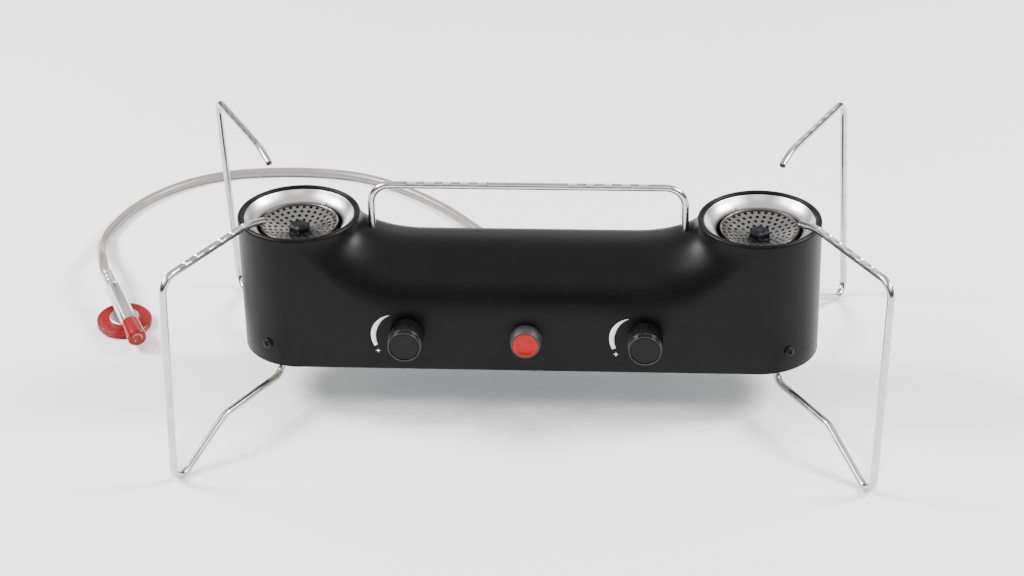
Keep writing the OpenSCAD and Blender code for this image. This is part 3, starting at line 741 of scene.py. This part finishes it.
def make_head(side, word):
    """Dished sheet with rings of ports, 0.5 mm thick, with a rolled rim in the bowl's steel, which
    the bowl's painted shade darkens.
    """
    cells = []
    for r, count in PORT_RINGS:
        high = DISC_R if r == PORT_RINGS[0][0] else r + RING_HALF
        for k in range(count):
            cells.append(port_cell(r, r - RING_HALF, high, 2 * math.pi * k / count,
                                   math.pi / count))
    verts, faces = join(cells)
    place = Matrix.Translation((side * BURNER_X, 0, 0))
    sheet = piece(word + "_perforated_disc", [place @ v for v in verts], faces, HEAD[side],
                  "stove", [word + "_burner_head"], sharp=40)
    work = bmesh.new()
    work.from_mesh(sheet.data)
    bmesh.ops.remove_doubles(work, verts=work.verts, dist=1e-6)
    bmesh.ops.recalc_face_normals(work, faces=work.faces)
    if sum(f.normal.z for f in work.faces) < 0:
        bmesh.ops.reverse_faces(work, faces=work.faces)
    work.to_mesh(sheet.data)
    work.free()
    thicken(sheet, 0.0005, split=30)
    rim = [(28.3, 140.43), (28.75, 141.6), (29.25, 142.0), (29.8, 141.85), (30.08, 141.3),
           (30.08, 138.5), (28.9, 138.5), (28.6, 139.5), (28.3, 139.9), (28.3, 140.43)]
    hub = [(7.8, DISC_LOW_Z), (3.1, DISC_LOW_Z), (3.1, 132.4), (7.8, 132.4), (7.8, DISC_LOW_Z)]
    # The rim and hub take the bowl's steel, so they lie wholly inside its painted shade.
    v, f = join([lathe(in_metres(part), place, 144) for part in (rim, hub)])
    outward(piece(word + "_head_rim", v, f, BOWL[side], "stove", sharp=30))


def make_head_screw(side, word):
    """Hexagon screw with a cone top and a fluted flange."""
    seat = 0.0083           # below the top of the burner head
    at = Matrix.Translation((side * BURNER_X, 0, HEAD_Z - seat))
    flange = soft_profile([(0, 0), (8.3, 0), (8.3, 1.1), (6.0, 1.5)], [0, 0.3])
    parts = [lathe(flange, at, 72,
                   lambda i, a: 1 - 0.035 * abs(math.sin(12 * a)) if i > 0 else 1)]

    six_sided = [(8.3, 1.2), (8.37, 1.6), (8.37, 4.6), (8.1, 5.1), (5.9, 6.4)]
    cone = [(3.4, 6.7), (2.6, 6.3), (0, 6.3)]
    parts.append(lathe(in_metres(six_sided + cone), at, 72,
                       lambda i, a: hexagon(a) if i < len(six_sided) else 1))
    stud = [(0, -7), (2.9, -7), (2.9, 0.2)]
    parts.append(lathe(in_metres(stud), at, 32))
    v, f = join(parts)
    outward(piece(word + "_head_screw", v, f, BLACKED, "stove",
                  [word + "_burner_nut"], sharp=25))


for which, label in SIDES:
    make_bowl(which, label)
    make_head(which, label)
    make_head_screw(which, label)


# ---------- housing screws ----------

def make_screws():
    """Pan-head screws with a cross recess, pointing out of the round ends."""
    height, turn = 0.0575, 60
    shank = in_metres([(0, -3.5), (2.0, -3.5), (2.0, 0.2)])
    parts = []
    for side in (LEFT, RIGHT):
        for fb in (-1, 1):
            angle = math.radians(fb * turn if side > 0 else 180 - fb * turn)
            place = (Matrix.Translation((side * BURNER_X, 0, height))
                     @ Matrix.Rotation(angle, 4, "Z") @ Matrix.Rotation(math.pi / 2, 4, "Y")
                     @ Matrix.Translation((0, 0, BODY_R)))
            parts.append(screw_head(place))
            parts.append(lathe(shank, place, 24))
    v, f = join(parts)
    piece("shell_screws", v, f, BLACKED, "stove", ["housing_screws"], sharp=28)


def screw_head(place):
    """One domed head; points inside the cross are pushed down."""
    rings = [(4.0, -0.15), (4.0, 0.5), (3.9, 1.1), (3.5, 1.75), (2.9, 2.15), (2.3, 2.35)]
    rings += [(r, 2.45) for r in (2.0, 1.7, 1.4, 1.1, 0.8, 0.5, 0.25, 0)]
    verts, faces = lathe(in_metres(rings), place, 80)
    crown, arm_half, arm_reach, bottom = (x * MM for x in (2.3, 0.42, 2.25, 1.15))
    back = place.inverted()
    for i, p in enumerate(verts):
        q = back @ p
        across = min(abs(q.x), abs(q.y))
        out = max(abs(q.x), abs(q.y))
        if q.z > crown and across < arm_half and out < arm_reach:
            verts[i] = place @ Vector((q.x, q.y, bottom))
    return verts, faces


make_screws()


# ---------- knobs and igniter ----------

def make_knob(side, word):
    """Ribbed side, smooth rolled bezel and a shallow dished face."""
    clearance = 0.0009      # between the knob and the housing
    back = out_of_front(side * KNOB_X, KNOB_Z, -FACE_Y - clearance)
    skirt = [(3.05, 6.9), (10.0, 6.9), (10.0, 0.25), (10.25, 0), (12.5, 0), (12.85, 0.35)]
    ribbed = [(13.15, 1.2), (13.15, 15.3)]
    bezel = soft_profile([(12.95, 15.6), (12.9, 16.5), (12.1, 16.9), (11.95, 19.3), (12.5, 19.8),
                          (12.5, 20.8), (11.5, 20.8), (11.2, 20.0), (11.1, 19.2), (0, 19.2)],
                         [0.45, 0.3, 0.5, 0.3, 0.45, 0.3, 0.1, 0.1], math.radians(12))
    ribbed_rows = range(len(skirt), len(skirt) + len(ribbed))
    rib_count, rib_depth = 48, 0.052

    def ribs(i, a):
        if i not in ribbed_rows:
            return 1
        return 1 - rib_depth * (0.5 - 0.5 * math.cos(rib_count * a)) ** 1.6

    v, f = lathe(in_metres(skirt + ribbed) + bezel, back, 480, ribs)
    outward(piece(word + "_gas_knob", v, f, BLACK, word + "_gas_control",
                  [word + "_knob"], sharp=38))
    face = soft_profile([(0, 19.0), (11.05, 19.0), (11.05, 20.15), (10.2, 20.2), (0, 19.95)],
                        [0.1, 0.3, 0.3])
    v, f = lathe(face, back, 96)
    outward(piece(word + "_gas_knob_face", v, f, MATT_BLACK, word + "_gas_control",
                  sharp=38))


for which, label in SIDES:
    make_knob(which, label)


def make_igniter():
    """Black collar round a red cap that is dished in the middle."""
    at = out_of_front(0, BUTTON_Z, -FACE_Y)
    collar = soft_profile([(9.72, -8.9), (9.72, 10.1), (10.9, 10.2), (12.1, 4.6), (12.4, 0.15),
                           (12.2, 0.1), (9.98, 0.1), (9.98, -8.9), (9.72, -8.9)],
                          [0.35, 0.7, 3.0, 0.2, 0.05, 0.05, 0.0])
    v, f = lathe(collar, at, 128)
    outward(piece("igniter_bezel", v, f, COLLAR, "stove", ["igniter_collar"],
                  sharp=38))
    cap = soft_profile([(0, -7.0), (3.0, -7.0), (3.0, -4.2), (9.6, -4.2), (9.62, 10.8),
                        (8.2, 10.8), (6.2, 9.7), (0, 9.35)], [0.1, 0.1, 0.2, 0.8, 0.7, 2.4])
    v, f = lathe(cap, at, 128)
    outward(piece("igniter_cap", v, f, CAP_RED, "ignition_button",
                  ["igniter_button"], sharp=38))


make_igniter()


# ---------- printed marks ----------

def make_marks(side, word):
    """A crescent that widens downwards and a small four-pointed spark beside each knob."""
    film = 0.00006          # in front of the housing
    y = -FACE_Y - film
    steps = 40
    verts, faces = [], []
    for k in range(steps + 1):
        t = k / steps
        a = math.radians(131 + 74 * t)
        width = 0.3 + 3.6 * math.sin(math.pi / 2 * min(1, t / 0.6)) ** 1.2
        width -= 1.0 * max(0, (t - 0.6) / 0.4) ** 1.5
        middle = 19.6 + 6.7 * math.sin(math.pi / 2 * t) ** 0.9
        for r in (middle - width / 2, middle + width / 2):
            verts.append(Vector((side * KNOB_X + r * math.cos(a) * MM, y,
                                 KNOB_Z + r * math.sin(a) * MM)))
    for k in range(steps):
        faces.append((2 * k, 2 * k + 1, 2 * k + 3, 2 * k + 2))
    centre = Vector((side * KNOB_X - 0.0225, y, KNOB_Z - 0.0159))
    base = len(verts)
    verts.append(centre)
    for k in range(16):
        a = math.pi / 8 * k
        r = (2.15, 0.85, 0.72, 0.85)[k % 4] * MM
        verts.append(centre + Vector((r * math.cos(a), 0, r * math.sin(a))))
    faces += [(base, base + 1 + k, base + 1 + (k + 1) % 16) for k in range(16)]
    obj = piece(word + "_flame_mark", verts, faces, PRINT, "stove")
    thicken(obj, 0.00004)


for which, label in SIDES:
    make_marks(which, label)


# ---------- wires ----------

NOTCH_PITCH = 0.0134
NOTCH_HALF = 0.0043
NOTCH_DEPTH = 0.0008
NOTCH_RAMP = 0.0004
HANDLE_X = 0.119
LEG_X = 0.190
LEG_Y = 0.033
LEG_LEAN = math.radians(-2.3)
LEG_REACH = 0.1345          # from the pivot to the upright
LEG_BEND = 0.011
FOOT_SLOPE = 26.8           # degrees, from the strut down to the foot


def pressed(centre, offset, up, along, starts):
    """Presses a flat into the top of the wire where a notch is; along is the place on the arm,
    and starts are the middles of the notches."""
    for start in starts:
        inside = NOTCH_HALF - abs(along - start)
        if inside > 0:
            depth = NOTCH_DEPTH * min(1, inside / NOTCH_RAMP)
            limit = WIRE_R - depth
            h = offset.dot(up)
            if h > limit:
                offset = offset - up * (h - limit)
    return offset


def make_leg(word, side, fb, azimuth):
    """One wire: pivot, strut, foot, upright, notched arm and a tip bent down a little."""
    lean = Matrix.Rotation(LEG_LEAN, 4, "X")
    up_strut = Vector((0, 0, STRUT_Z))
    points = [Vector(p) for p in ((0, 0, 0.055), (0, 0, STRUT_Z))]
    foot = WIRE_R + LEG_BEND - LEG_BEND / math.tan(math.radians((90 - FOOT_SLOPE) / 2))
    kink = LEG_REACH - (STRUT_Z - foot) / math.tan(math.radians(FOOT_SLOPE))
    for x, z in ((kink, STRUT_Z), (LEG_REACH, foot), (LEG_REACH, ARM_Z), (0.036, ARM_Z),
                 (0.017, 0.1685)):
        points.append(lean @ (Vector((x, 0, z)) - up_strut) + up_strut)
    path = rounded(points, [0.010, 0.012, LEG_BEND, 0.012, 0.060], PATH_STEP, math.radians(5))
    place = (Matrix.Translation((side * LEG_X, fb * LEG_Y, 0))
             @ Matrix.Rotation(math.radians(azimuth), 4, "Z"))
    up = (lean @ Vector((0, 0, 1))).normalized()
    starts = [0.046 + NOTCH_PITCH * i for i in range(6)]

    def shape(centre, offset):
        on_arm = centre.z >= 0.15
        if not on_arm:
            return offset
        return pressed(centre, offset, up, centre.x, starts)

    verts, faces, uvs = tube(path, WIRE_R, 28, Vector((0, 1, 0)), 0.0006, shape)
    piece(word + "_wire_leg", [place @ v for v in verts], faces, WIRE, word + "_leg",
          ["leg_" + word], uvs, 20)


make_leg("front_left", LEFT, -1, 241)
make_leg("front_right", RIGHT, -1, -59)
make_leg("back_left", LEFT, 1, 119)
make_leg("back_right", RIGHT, 1, 64)


def make_handle():
    """A wire arch with notches along its top, in two groups."""
    points = [Vector(p) for p in ((-HANDLE_X, 0, 0.124), (-HANDLE_X, 0, ARM_Z),
                                  (HANDLE_X, 0, ARM_Z), (HANDLE_X, 0, 0.124))]
    path = rounded(points, [0.015, 0.015], PATH_STEP, math.radians(5))
    starts = [s * (0.034 + NOTCH_PITCH * i) for s in (LEFT, RIGHT) for i in range(5)]

    def shape(centre, offset):
        on_top = centre.z >= 0.17
        if not on_top:
            return offset
        return pressed(centre, offset, Vector((0, 0, 1)), centre.x, starts)

    verts, faces, uvs = tube(path, WIRE_R, 28, Vector((0, 1, 0)), 0.0006, shape)
    piece("wire_handle", verts, faces, WIRE, "stove", ["carry_bail"], uvs, 20)


make_handle()


# ---------- canister connector ----------

CONN = (Matrix.Translation(CONN_POS) @ Matrix.Rotation(CONN_HEADING, 4, "Z")
        @ Matrix.Rotation(CONN_TILT, 4, "Y"))
BAR_Z = 0.0115
SHUT_OFF_X = 0.0215
SHUT_OFF_END = 0.02203      # along the shut-off knob, to just proud of its end


def along_bar(x):
    """Places +Z of a turned shape along the bar, starting at x."""
    return CONN @ Matrix.Translation((x, 0, BAR_Z)) @ Matrix.Rotation(math.pi / 2, 4, "Y")


def make_connector():
    """Hexagon fitting, the hub and red wheel under it, and the red knob on its end."""
    # The bar is 12 mm across flats with a flat on top, and chamfered at both ends.
    corner = 12 / math.sqrt(3)
    chamfer = [(0, 0), (5.7, 0)]
    flats = [(corner, 1.0), (corner, 52.0)]
    spindle = [(5.7, 53.0), (3.0, 53.0), (3.0, 66.0), (0, 66.0)]
    flat_rows = range(len(chamfer), len(chamfer) + len(flats))
    turn = along_bar(-0.032) @ Matrix.Rotation(math.pi / 6, 4, "Z")
    parts = [lathe(in_metres(chamfer + flats + spindle), turn, 96,
                   lambda i, a: hexagon(a + math.pi / 6) if i in flat_rows else 1)]
    neck = [(0, 2.5), (4.6, 2.5), (4.6, 3.55), (4.0, 3.6), (4.0, 11)]
    parts.append(lathe(in_metres(neck), CONN, 48))
    v, f = join(parts)
    outward(piece("hexagon_fitting", v, f, CHROME, "stove", ["connector_body"],
                  sharp=20))
    hub = soft_profile([(5.4, -4.0), (9.0, -4.0), (9.0, 2.78), (12.0, 2.8), (12.0, 4.6),
                        (11.2, 4.97), (4.05, 4.97), (4.05, 3.9), (5.0, 3.9), (5.0, 0.6),
                        (5.4, 0.6), (5.4, -4.0)],
                       [0.4, 0.05, 0.1, 0.5, 0.3, 0.1, 0.1, 0.1, 0.1, 0.1])
    v, f = lathe(hub, CONN, 96)
    outward(piece("threaded_hub", v, f, SATIN, "hand_wheel", ["connector_hub"],
                  sharp=30))
    wheel = soft_profile([(9.05, -2.75), (21.6, -2.75), (22.3, -2.0), (22.3, -0.5), (21.7, 0),
                          (22.3, 0.5), (22.3, 2.0), (21.6, 2.75), (20.2, 2.7), (18.6, 2.35),
                          (13.5, 2.35), (12.4, 2.72), (9.05, 2.72), (9.05, -2.75)],
                         [0.5, 0.4, 0.3, 0.2, 0.3, 0.4, 0.5, 0.6, 0.6, 0.6, 0.3, 0.1])
    v, f = lathe(wheel, CONN, 144)
    outward(piece("red_hand_wheel", v, f, RED, "hand_wheel",
                  ["connector_wheel"], sharp=30))
    knob = soft_profile([(3.05, 14.0), (3.05, 0), (7.0, 0), (7.6, 0.7), (7.6, 21.2), (6.6, 22.5),
                         (5.9, 22.45), (5.6, 22.0), (0, 22.0)],
                        [0, 0.1, 0.3, 0.4, 1.0, 0.4, 0.2, 0.2])
    v, f = lathe(knob, along_bar(SHUT_OFF_X), 96)
    outward(piece("red_shut_off_knob", v, f, RED, "shut_off_knob",
                  ["line_knob"], sharp=30))


make_connector()


def make_knob_mark():
    """Crescent and dot on the shut-off knob's end, raised a little."""
    place = along_bar(SHUT_OFF_X + SHUT_OFF_END)
    verts, faces = [], []
    steps = 28
    for k in range(steps + 1):
        t = k / steps
        a = math.radians(60 + 190 * t)
        width = 0.25 + 1.1 * math.sin(math.pi * t) ** 0.8
        for r in (3.9 - width / 2, 3.9 + width / 2):
            verts.append(place @ Vector((r * math.cos(a) * MM, r * math.sin(a) * MM, 0)))
    for k in range(steps):
        faces.append((2 * k, 2 * k + 1, 2 * k + 3, 2 * k + 2))
    base = len(verts)
    dot = Vector((2.2 * MM, -1.8 * MM, 0))
    verts.append(place @ dot)
    dot_r, sides = 0.75 * MM, 20
    for k in range(sides):
        a = 2 * math.pi * k / sides
        verts.append(place @ (dot + Vector((dot_r * math.cos(a), dot_r * math.sin(a), 0))))
    faces += [(base, base + 1 + k, base + 1 + (k + 1) % sides) for k in range(sides)]
    obj = piece("shut_off_mark", verts, faces, MARKED, "shut_off_knob")
    thicken(obj, 0.00005)


make_knob_mark()


def make_ferrules():
    """Crimped sleeves: a bell with pressed rings, and a collar next to the fitting."""
    rings = [(4.6, 0.6)]
    for i in range(3):
        z = 5.0 + 5.6 * i
        rings += [(4.6, z - 1.5), (4.4, z - 0.6), (4.4, z + 0.6), (4.6, z + 1.5)]
    outlet = [(0, 0), (4.1, 0)] + rings + [(4.6, 21.0), (4.0, 21.8), (4.0, 24), (0, 24)]
    v, f = lathe(in_metres(outlet), along_bar(-0.056), 72)
    outward(piece("outlet_crimp", v, f, SATIN, "stove",
                  ["hose_outlet_ferrule"], sharp=22))
    inlet = [(0, 0), (5.0, 0), (5.5, 0.6)]
    for i in range(3):
        z = 5.8 + 5.0 * i
        inlet += [(5.5, z - 1.3), (5.1, z - 0.5), (5.1, z + 0.5), (5.5, z + 1.3)]
    inlet += [(5.5, 21.2), (4.7, 22), (0, 22)]
    place = Matrix.Translation((0, 0.056, KNOB_Z)) @ Matrix.Rotation(-math.pi / 2, 4, "X")
    v, f = lathe(in_metres(inlet), place, 72)
    outward(piece("inlet_crimp", v, f, STEEL, "stove",
                  ["hose_inlet_ferrule"], sharp=22))


make_ferrules()


# ---------- studio ----------

def soft_room(tree):
    """A room that is bright overhead and dim near the horizon, more so behind the camera."""
    coords = tree.nodes.new("ShaderNodeTexCoord")
    parts = tree.nodes.new("ShaderNodeSeparateXYZ")
    tree.links.new(coords.outputs["Generated"], parts.inputs["Vector"])
    height = tree.nodes.new("ShaderNodeMapRange")
    height.interpolation_type = "SMOOTHSTEP"
    front = tree.nodes.new("ShaderNodeMapRange")
    product = tree.nodes.new("ShaderNodeMath")
    product.operation = "MULTIPLY"
    for node, source, values in ((height, "Z", (0.16, 0.80, 0.10, 1.10)),
                                 (front, "Y", (-0.7, 0.3, 0.55, 1.0))):
        tree.links.new(parts.outputs[source], node.inputs["Value"])
        for socket, value in zip(("From Min", "From Max", "To Min", "To Max"), values):
            node.inputs[socket].default_value = value
    tree.links.new(height.outputs["Result"], product.inputs[0])
    tree.links.new(front.outputs["Result"], product.inputs[1])
    tree.links.new(product.outputs["Value"], tree.nodes["Background"].inputs["Strength"])
    tree.nodes["Background"].inputs["Color"].default_value = (1, 1, 1, 1)


def studio():
    """Pale floor, soft room light and six large round lamps."""
    floor_material = Nodes("studio_floor")
    cloud = floor_material.noise(floor_material.coords("Object"), 3, 2)
    floor_material.join(floor_material.ramp(cloud, [(0.3, grey(0.92)), (0.7, grey(0.94))]),
                        floor_material.shader, "Base Color")
    floor_material.set(Roughness=0.75)
    bpy.ops.mesh.primitive_plane_add(size=14, location=(0, 0, 0))
    floor = bpy.context.object
    floor.name = "studio_floor"
    floor.data.materials.append(floor_material.material)
    world = bpy.data.worlds.new("studio")
    world.use_nodes = True
    soft_room(world.node_tree)
    bpy.context.scene.world = world
    target = Vector((0, 0, 0.1))
    for name, place, size, watts in (
            ("key", (-1.5, -0.7, 1.7), 0.9, 30),
            ("fill", (1.5, -0.7, 1.6), 0.8, 20),
            ("front", (0.2, -2.2, 2.2), 1.6, 12),
            ("back_left", (-1.75, 0.25, 1.5), 0.7, 76),
            ("back_right", (1.75, 0.25, 1.5), 0.7, 76),
            ("rim", (0, 2.8, 1.3), 1.6, 10)):
        light = bpy.data.objects.new(name, bpy.data.lights.new(name, "AREA"))
        light.data.shape = "DISK"
        light.data.size = size
        light.data.energy = watts
        light.location = place
        light.rotation_euler = (target - Vector(place)).to_track_quat("-Z", "Y").to_euler()
        bpy.context.scene.collection.objects.link(light)


studio()
